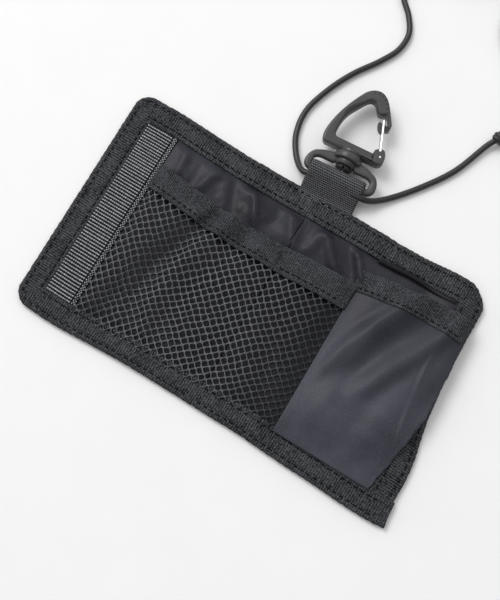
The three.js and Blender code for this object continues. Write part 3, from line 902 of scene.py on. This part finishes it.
emit("mesh_top_tape", *slab(net_tape, 110, 18, 0.75), TAPE_FINE, "border_tape",
     ["mesh_binding_left", "mesh_binding_middle"])
for tag, a, b in (("left", -66.5, -1), ("right", 1, 32)):
    xs = np.linspace(a, b, 120)
    V = np.full_like(xs, 0.17)
    nx, ny, z = net_tape((xs + 67.4) / 101.4, V)
    sew(f"stitches_mesh_tape_{tag}", [np.stack([nx, ny, z + 0.4], -1)], pitch=2.9)


# ------------------------------------------------------------------ coin pocket
def coin_left(y):
    return 34.0 - (y - 25) * 0.016


def coin_right(y):
    edge = np.interp(y, [-46, -38.7, -26, -15.4, -7, 7, 26, 39.5], [80.6, 82.0, 83.9, 85.5, 86.4, 85.9, 84.6, 82.2])
    return edge + 0.22 * np.sin(y * 0.55 + 0.6) + 0.12 * np.sin(y * 1.3)


def border_top(x, y):
    """The top of the curled right border, and of the border's bottom part."""
    h = ridge(y)
    inner = right_edge(y) - np.sqrt(TAPE_W ** 2 - h * h)
    w = np.clip((x - inner) / 10.0, 0, 1)
    return (2.6 + h * (1 - w)) * smooth(x, inner - 4, inner)


def coin_height(s, x, y):
    fill = smooth(s, -0.04, 0.30) * (0.86 + 0.14 * smooth(s, 0.3, 1.0))
    foot = smooth(y, -45.5, -26)
    corner = 1 - 0.7 * smooth(s, 0.6, 1.0) * smooth(-y, 14, 44)
    # One broad slanting fold in the upper half, and small ones beyond it.
    q = x - 0.5 * y
    inside = smooth(q, 33, 42) * (1 - smooth(q, 62, 74)) * smooth(y, -26, -6)
    folds = 1.55 * np.cos((q - 42) * 2 * math.pi / 23) * inside
    folds = folds + 0.45 * np.sin((q + 0.2 * y) / 2.9) * smooth(q, 62, 70) * smooth(y, -34, 0)
    folds = folds + 0.40 * np.sin((x + 0.6 * y) / 4.6 + 1.0) * smooth(-y, 8, 30)
    folds = folds + 0.12 * np.sin((q + y * 0.35) / 1.9 + 1.1)
    folds = folds * smooth(s, 0.02, 0.16) * (1 - smooth(s, 0.92, 1.0)) * smooth(y, -45, -38)
    z = 3.15 + 4.4 * fill * foot * corner + folds + 0.5 * rumple(x, y, 13, 51.0) * fill * foot
    low = border_top(x, y) + 0.7 * smooth(y, -40, -20)
    return z + 0.6 * np.logaddexp(0, (low - z) / 0.6)


def coin_front(U, V):
    y = -45.4 + V * (77.8 + 2.5 * np.clip(U, 0, 1))
    s = np.clip(U / 0.93, 0, 1)
    x0, x1 = coin_left(y), coin_right(y)
    x = x0 + (x1 - x0) * s
    z = coin_height(s, x, y)
    # Past its right edge the cloth turns under, down to the border.
    under = smooth(U, 0.93, 1.0)
    x = x - 0.6 * under ** 2 - 1.0 * np.clip(under - 0.5, 0, 1)
    z = z - 1.5 * under * smooth(y, -42, -24)
    return x, y, z


FRONT = emit("coin_pocket_front", *slab(coin_front, 90, 110, 0.4), SATIN, "satin", ["coin_pocket"])[0]


def coin_tape(U, V):
    x0 = 32.6 + U * 52.2
    hi = np.interp(x0, [32.2, 41.3, 52.6, 64.4, 75.2, 84.8], [33.4, 34.6, 35.3, 36.6, 37.4, 36.8])
    lo = np.interp(x0, [33.9, 50.5, 65.5, 84.8], [24.3, 25.9, 27.6, 26.2])
    y = lo * (1 - V) + hi * V
    s = np.clip((x0 - 34) / 51, 0, 1)
    z = coin_height(s, x0, y) + 0.45 + 0.5 * V * smooth(s, 0.1, 0.4)
    z = z - 1.1 * smooth(x0, 82.6, 84.8) ** 2
    return x0 - 0.8 * V * smooth(x0, 75, 84.8), y, np.maximum(z, 3.6)


emit("coin_pocket_tape", *slab(coin_tape, 60, 18, 0.8), TAPE_FINE, "border_tape", ["coin_pocket_binding"])
us = np.linspace(0.03, 0.97, 120)
cx, cy, cz = coin_tape(us, np.full_like(us, 0.15))
sew("stitches_coin_tape", [np.stack([cx, cy, cz + 0.42], -1)], pitch=2.9)


def hem(U, V):
    """The rolled hem of the banknote pocket, under the top border."""
    x = 36.5 + U * 44
    a = V * 2 * math.pi * 0.82
    y = 42.0 + 0.5 * np.sin(x / 7.0) + 1.0 * np.cos(a)
    nx, ny, lift = lie(x, np.full_like(x, 42.5))
    return nx, y - 0.2, 2.9 + 0.75 * np.sin(a) + lift * 0.6 + 0.4 * np.sin(x / 6.0)


emit("banknote_pocket_hem", *slab(hem, 60, 16, 0.3), LINING, "satin", (), "right_panel")


# ------------------------------------------------------------------ hardware, in the hook's own turned frame
TILT = math.radians(4.5)
BAR = np.array([2.6, 62.2, 6.5])


def turned(p):
    p = np.asarray(p, float)
    c, s = math.cos(TILT), math.sin(TILT)
    out = p.copy()
    out[..., 0], out[..., 1] = c * p[..., 0] - s * p[..., 1], s * p[..., 0] + c * p[..., 1]
    return out + BAR


def trace(steps, per=9):
    """A closed outline from a start point, straight steps (x, y) and curved steps (cx, cy, x, y)."""
    pts = [np.array(steps[0], float)]
    for st in steps[1:]:
        a = pts[-1]
        if len(st) == 2:
            pts.append(np.array(st, float))
        else:
            c, b = np.array(st[:2], float), np.array(st[2:], float)
            for t in np.linspace(0, 1, per)[1:]:
                pts.append((1 - t) ** 2 * a + 2 * t * (1 - t) * c + t * t * b)
    return pts


def meshed(name, cu, material):
    """The curve as a smooth mesh."""
    tmp = bpy.data.objects.new(name + "_line", cu)
    scene.collection.objects.link(tmp)
    bpy.context.view_layer.update()
    me = bpy.data.meshes.new_from_object(tmp.evaluated_get(bpy.context.evaluated_depsgraph_get()))
    bpy.data.objects.remove(tmp)
    me.name = name
    me.materials.clear()
    me.materials.append(material)
    me.polygons.foreach_set("use_smooth", np.ones(len(me.polygons), bool))
    return me


def put(name, me, body, node):
    o = bpy.data.objects.new(name, me)
    scene.collection.objects.link(o)
    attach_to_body(o, body)
    if node:
        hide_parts(node)


def moulding(name, outlines, thick, edge, material, node=None, body=None, z=0.0):
    """A flat moulding with rounded edges, from its outline and holes."""
    cu = bpy.data.curves.new(name, "CURVE")
    cu.dimensions, cu.fill_mode = "2D", "BOTH"
    cu.extrude, cu.bevel_depth, cu.bevel_resolution, cu.offset = (thick / 2 - edge) * MM, edge * MM, 4, -edge * MM
    for pts in outlines:
        poly(cu, [(*p, 0) for p in pts], closed=True)
    me = meshed(name, cu, material)
    v = np.empty(len(me.vertices) * 3, np.float64)
    me.vertices.foreach_get("co", v)
    v = v.reshape(-1, 3) / MM
    v[:, 2] += z
    me.vertices.foreach_set("co", (turned(v) * MM).astype(np.float32).ravel())
    me.set_sharp_from_angle(angle=math.radians(38))
    put(name, me, body, node)


def turning(name, profile, n, material, body, centre=(0, 0)):
    """A piece turned about the hook's long axis: profile of (radius, distance)."""
    verts, faces = [], []
    for r, v in profile:
        for k in range(n):
            a = 2 * math.pi * k / n
            verts.append((centre[0] + r * math.cos(a), v, centre[1] + r * math.sin(a)))
    m = len(profile)
    for i in range(m - 1):
        for k in range(n):
            l = (k + 1) % n
            faces.append((i * n + k, i * n + l, (i + 1) * n + l, (i + 1) * n + k))
    for ring, turn in ((0, False), (m - 1, True)):
        f = tuple(ring * n + k for k in range(n))
        faces.append(f if turn else tuple(reversed(f)))
    o = build(name, turned(np.array(verts)), faces, None, material, (), body)
    o.data.set_sharp_from_angle(angle=math.radians(40))
    return o


def strand(name, pts, r, material, body, node=None):
    """A round strand of radius r along the points."""
    cu = bpy.data.curves.new(name, "CURVE")
    cu.dimensions, cu.bevel_depth, cu.bevel_resolution, cu.use_fill_caps = "3D", r * MM, 5, True
    poly(cu, pts)
    put(name, meshed(name, cu, material), body, node)


RING = trace([(-13.6, -1.5), (13.6, -1.5), (17, -0.8, 17, 2.4), (16.8, 6, 14.4, 8), (9, 11, 0, 11),
              (-9, 11, -14.4, 8), (-16.8, 6, -17, 2.4), (-17, -0.8, -13.6, -1.5)])[:-1]
RING_HOLE = trace([(-13.5, 1.5), (-13.5, 4.3), (-12.8, 5.6, -10.6, 5.8), (-5, 5.8), (-4.4, 6.6), (4.4, 6.6), (5, 5.8),
                   (10.6, 5.8), (12.8, 5.6, 13.5, 4.3), (13.5, 1.5)])
moulding("ring_frame", [RING, RING_HOLE], 3.2, 1.15, PLASTIC, "swivel_ring", "ring")
turning("ring_collar", [(2.9, 8.5), (5.6, 8.5), (6.2, 8.8), (6.4, 9.4), (6.4, 11.0), (6.2, 11.6), (5.6, 12.0),
                        (2.9, 12.0)],
        48, PLASTIC, "ring")
turning("ring_neck", [(2.9, 6.4), (4.2, 6.4), (4.6, 6.9), (4.6, 8.6), (2.9, 8.6)], 40, PLASTIC, "ring")

HOOK = trace([(-12.6, 12.6), (10.4, 12.6), (11.6, 12.5, 12.2, 13.2), (9.6, 15), (8.8, 17), (-8.6, 17),
              (-10.2, 17.4, -10.2, 20.4), (-10.4, 27, -7.6, 31.6), (-4, 37.4), (-2.2, 40, 0, 38.6), (2.8, 34.8),
              (4.4, 34.2, 5.4, 35.2), (6.4, 36.2, 7.8, 34.2), (9.2, 31.6, 9.5, 29.4), (10.9, 29.6, 10.5, 32.4),
              (9.4, 34.6, 6, 39.8), (3, 44.6, -0.8, 44.6), (-4.4, 44.2, -6.6, 41), (-13.2, 30, -14.6, 19.6),
              (-15.4, 13.4, -12.6, 12.6)])[:-1]
moulding("hook_arm", [HOOK], 5.6, 1.0, PLASTIC, "hook_body", "hook")
LUG = trace([(8.0, 12.7), (10.4, 12.7), (13.6, 12.4, 14.3, 14.6), (14.8, 17, 13.6, 19.6), (12.4, 21.6, 10.6, 20.8),
             (8.8, 19.6), (8.2, 15.0)])
moulding("hook_lug", [LUG], 2.3, 0.35, PLASTIC, None, "hook")
EAR = trace([(12.4, 12.9), (14.0, 13.4, 14.3, 15.6), (14.4, 17.8, 13.3, 19.6), (12.7, 20.6, 12.3, 20.2),
             (12.9, 17.0), (13.5, 16.0), (12.6, 15.0), (11.0, 15.2), (10.2, 14.0)])
moulding("hook_ear", [EAR], 5.2, 0.55, PLASTIC, None, "hook")
PRONG = trace([(9.9, 29.8), (8.6, 27.0, 7.2, 27.3), (5.0, 28.6, 4.5, 31.2), (5.0, 32.4, 6.0, 31.9), (8.9, 31.6)])
moulding("hook_prong", [PRONG], 2.2, 0.3, PLASTIC, None, "hook")
# Painted shade: a thin dark sheet along the arm's inner edge stands in for its shaded bevel facet.
FACET = trace([(-9.9, 25.4), (-11.6, 28.6, -9.6, 32.0), (-7.4, 35.4, -4.6, 36.8), (-7.6, 32.6, -8.3, 31.0),
               (-9.6, 28.6, -9.9, 25.4)], 7)[:-1]
moulding("hook_facet", [FACET], 0.5, 0.1, DARK_PLASTIC_AND_SHADE, None, "hook", z=2.6)
turning("hook_boss", [(0.5, 12.15), (4.8, 12.15), (5.2, 12.4), (5.2, 13.4), (4.8, 13.7),
                      (0.5, 13.7)], 40, PLASTIC, "hook")
turning("hook_stud", [(0.2, 7.2), (2.6, 7.2), (2.6, 13.2), (0.2, 13.2)], 28, PLASTIC, "hook")
for tag, sx in (("left", -1), ("right", 1)):
    # The split head of the stud, two prongs with a slot between them.
    verts, faces = [], []
    prof = [(2.3, 7.4), (2.5, 5.6), (3.7, 5.4), (3.8, 5.1), (3.2, 4.6), (1.8, 4.45)]
    for r, v in prof:
        for k in range(13):
            a = -math.pi / 2 + math.pi * k / 12
            verts.append((sx * (0.45 + (r - 0.45) * math.cos(a)), v, r * math.sin(a) * 0.98))
    for i in range(len(prof) - 1):
        for k in range(12):
            q = (i * 13 + k, i * 13 + k + 1, (i + 1) * 13 + k + 1, (i + 1) * 13 + k)
            faces.append(q if sx < 0 else tuple(reversed(q)))
        q = (i * 13, (i + 1) * 13, (i + 1) * 13 + 12, i * 13 + 12)
        faces.append(q if sx < 0 else tuple(reversed(q)))
    faces.append(tuple(range(13)))
    faces.append(tuple(reversed(range((len(prof) - 1) * 13, len(prof) * 13))))
    o = build(f"hook_stud_prong_{tag}", turned(np.array(verts)), faces, None, PLASTIC, (), "hook")
    o.data.set_sharp_from_angle(angle=math.radians(40))
# The lug's two cheeks, and the wire's end showing in each.
CHEEK = trace([(10.4, 13.4), (12.6, 12.5, 14.0, 14.4), (14.9, 16.4, 13.8, 18.0), (12.9, 19.2, 11.6, 19.2),
               (10.2, 18.6, 9.9, 16.8), (9.8, 14.4, 10.4, 13.4)])[:-1]
PIN = [(12.2 + 0.5 * math.cos(k * math.pi / 6), 16.4 + 0.5 * math.sin(k * math.pi / 6)) for k in range(12)]
for tag, side_z in (("upper", 1), ("lower", -1)):
    moulding(f"hook_cheek_{tag}", [CHEEK], 0.6, 0.22, PLASTIC, None, "hook", z=side_z * 3.0)
    moulding(f"hook_pin_{tag}", [PIN], 0.3, 0.06, WIRE, None, "hook", z=side_z * 3.27)
# Grip ridges round the outer tip.
ridges = []
for x, y, dx, dy in ((-2.6, 43.2, -0.2, 1), (-0.6, 43.6, 0.0, 1), (1.4, 43.2, 0.35, 1), (3.2, 42.0, 0.6, 0.8),
                     (4.6, 40.4, 0.8, 0.6), (5.8, 38.6, 0.85, 0.5), (6.9, 36.8, 0.85, 0.5)):
    n = math.hypot(dx, dy)
    ends = np.array([(x - 1.0 * dx / n, y - 1.0 * dy / n, 2.75), (x + 0.75 * dx / n, y + 0.75 * dy / n, 2.55)])
    ridges.append(turned(ends))
vv, ff = joined(capsules(line, 1.7, 1.7, 0.2, sink=0.0) for line in ridges)
build("hook_grip_ridges", vv, ff, None, DARK_PLASTIC_AND_SHADE, (), "hook")


# Wire gate, with the ends turned into the lug's hole.
def fillet(stops, r, per=7):
    out = [np.array(stops[0], float)]
    for a, b, c in zip(stops, stops[1:], stops[2:]):
        a, b, c = (np.array(q, float) for q in (a, b, c))
        p = b + (a - b) / np.linalg.norm(a - b) * r
        q = b + (c - b) / np.linalg.norm(c - b) * r
        for t in np.linspace(0, 1, per):
            out.append((1 - t) ** 2 * p + 2 * t * (1 - t) * b + t * t * q)
    return out + [np.array(stops[-1], float)]


G = 2.05
gate = fillet([(12.2, 16.4, 0.35), (12.2, 16.4, G), (6.4, 33.4, G), (6.4, 33.4, -G), (12.2, 16.4, -G),
               (12.2, 16.4, -0.35)], 1.0)
strand("gate_wire", turned(np.array(gate)), 0.64, WIRE, "gate", "wire_gate")


# ------------------------------------------------------------------ webbing tab
def tab_point(x, v, z):
    return turned(np.stack([x, v, z - 6.5], -1))


def tab_path():
    """The strap's middle line, from its stitched foot over the loop and back."""
    zc, r, vc, t = 6.5, 2.95, 0.4, 1.3
    a = np.linspace(math.pi / 2, -math.pi / 2, 14)
    upper = [(-13.0, 2.0), (-10.8, 2.1), (-9.0, 2.6), (-7.2, 3.9), (-5.2, 5.6), (-3.2, 7.3), (-1.4, 8.75)]
    arc = [(vc + r * math.cos(q), zc + r * math.sin(q)) for q in a]
    lower = [(-1.6, zc - r), (-3.0, 3.0), (-4.6, 2.2), (-5.9, 1.55), (-8, 1.35), (-13.0, 1.3)]
    pts = spline([(v, z, 0) for v, z in upper + arc + lower], 5)
    return np.array(pts)[:, :2]


TAB = tab_path()
_s = np.concatenate([[0], np.cumsum(np.linalg.norm(np.diff(TAB, axis=0), axis=1))])


def tab(U, V):
    s = V * _s[-1]
    v, z = np.interp(s, _s, TAB[:, 0]), np.interp(s, _s, TAB[:, 1])
    x = -0.6 + (U - 0.5) * 24.6
    x = x + (0.25 * rumple(s, x * 0, 4.0, 3.0)) * (np.abs(U - 0.5) > 0.45)
    z = z + 0.12 * rumple(x, s, 6.0, 9.0) * smooth(z, 5, 9)
    p = tab_point(x, v, z)
    return p[..., 0], p[..., 1], p[..., 2]


emit("webbing_tab_strap", *flip(slab(tab, 34, 90, 1.15)), WEBBING, "webbing", ["webbing_tab"], "middle_panel")

# ------------------------------------------------------------------ knot and coil tie
# An overhand knot: the standing cord, and a wrap that crosses over it.
wrap = []
k0 = np.array([KNOT[0], KNOT[1], 3.1])
axis = np.array([KNOT_DIR[0], KNOT_DIR[1], 0]) / math.hypot(*KNOT_DIR)
across = np.array([-axis[1], axis[0], 0])
for i in range(97):
    t = i / 96
    a = t * 2 * math.pi * 2.15 + 0.6
    d = (t - 0.5) * 5.4 + 0.7 * math.sin(a * 0.5)
    rr = 2.15 - 0.35 * abs(2 * t - 1) ** 3
    wrap.append(k0 + axis * d + rr * (math.cos(a) * across + math.sin(a) * np.array([0, 0, 0.86])))
KNOT_MAT = plain("knotted cord", (0.007, 0.007, 0.007), (0.034, 0.034, 0.033), 0.46, 0.0, 1800, 0.45)
strand("knot_wraps", wrap, 1.12, KNOT_MAT, "middle_panel", "cord_knot")
tie_pts = [(COIL[0], COIL[1] + COIL_R + (BUNDLE + 0.45) * math.cos(a), COIL[2] + (BUNDLE + 0.45) * math.sin(a))
           for a in np.linspace(0, 2 * math.pi, 49)]
verts, faces = [], []
for i, p in enumerate(tie_pts[:-1]):
    a = 2 * math.pi * i / 48
    for dx, dr in ((-2.5, 0.0), (-2.3, 0.22), (2.3, 0.22), (2.5, 0.0), (2.3, -0.2), (-2.3, -0.2)):
        verts.append((p[0] + dx, p[1] + dr * math.cos(a), p[2] + dr * math.sin(a)))
for i in range(48):
    j = (i + 1) % 48
    for k in range(6):
        l = (k + 1) % 6
        faces.append((i * 6 + k, i * 6 + l, j * 6 + l, j * 6 + k))
build("coil_band", np.array(verts), faces, None, DARK_PLASTIC_AND_SHADE, ["coil_tie"], "middle_panel")

# ------------------------------------------------------------------ floor and light
floor = bpy.data.meshes.new("floor")
floor.from_pydata([(-3, -3, -0.0003), (3, -3, -0.0003), (3, 3, -0.0003), (-3, 3, -0.0003)], [], [(0, 1, 2, 3)])
FLOOR = plain("floor", (0.882, 0.882, 0.880), (0.898, 0.898, 0.896), 0.9, 0.0, 30)
floor.materials.append(FLOOR)
floor_o = bpy.data.objects.new("floor", floor)
scene.collection.objects.link(floor_o)

world = bpy.data.worlds.new("world")
world.use_nodes = True
wt = world.node_tree
way = wt.nodes.new("ShaderNodeVectorMath")
way.operation = "DOT_PRODUCT"
way.inputs[1].default_value = (-0.66, 0.40, 0.63)
wt.links.new(wt.nodes.new("ShaderNodeTexCoord").outputs["Generated"], way.inputs[0])
span = wt.nodes.new("ShaderNodeMapRange")
span.inputs["From Min"].default_value, span.inputs["From Max"].default_value = 0.0, 1.0
span.inputs["To Min"].default_value, span.inputs["To Max"].default_value = 0.30, 1.04
wt.links.new(way.outputs["Value"], span.inputs["Value"])
wt.nodes["Background"].inputs[0].default_value = (1.0, 1.0, 1.0, 1)
wt.links.new(span.outputs[0], wt.nodes["Background"].inputs[1])
scene.world = world


def area(name, place, at, size, power, color=(1, 1, 1)):
    light = bpy.data.lights.new(name, "AREA")
    light.shape, light.size, light.energy, light.color = "DISK", size, power, color
    o = bpy.data.objects.new(name, light)
    o.location = place
    o.rotation_mode = "QUATERNION"
    o.rotation_quaternion = (Vector(at) - Vector(place)).to_track_quat("-Z", "Y")
    scene.collection.objects.link(o)


area("key", (-1.0, 0.42, 1.35), (0, 0, 0), 0.9, 14.2)
area("fill", (0.8, 0.9, 1.4), (0, 0, 0), 1.2, 2.4)
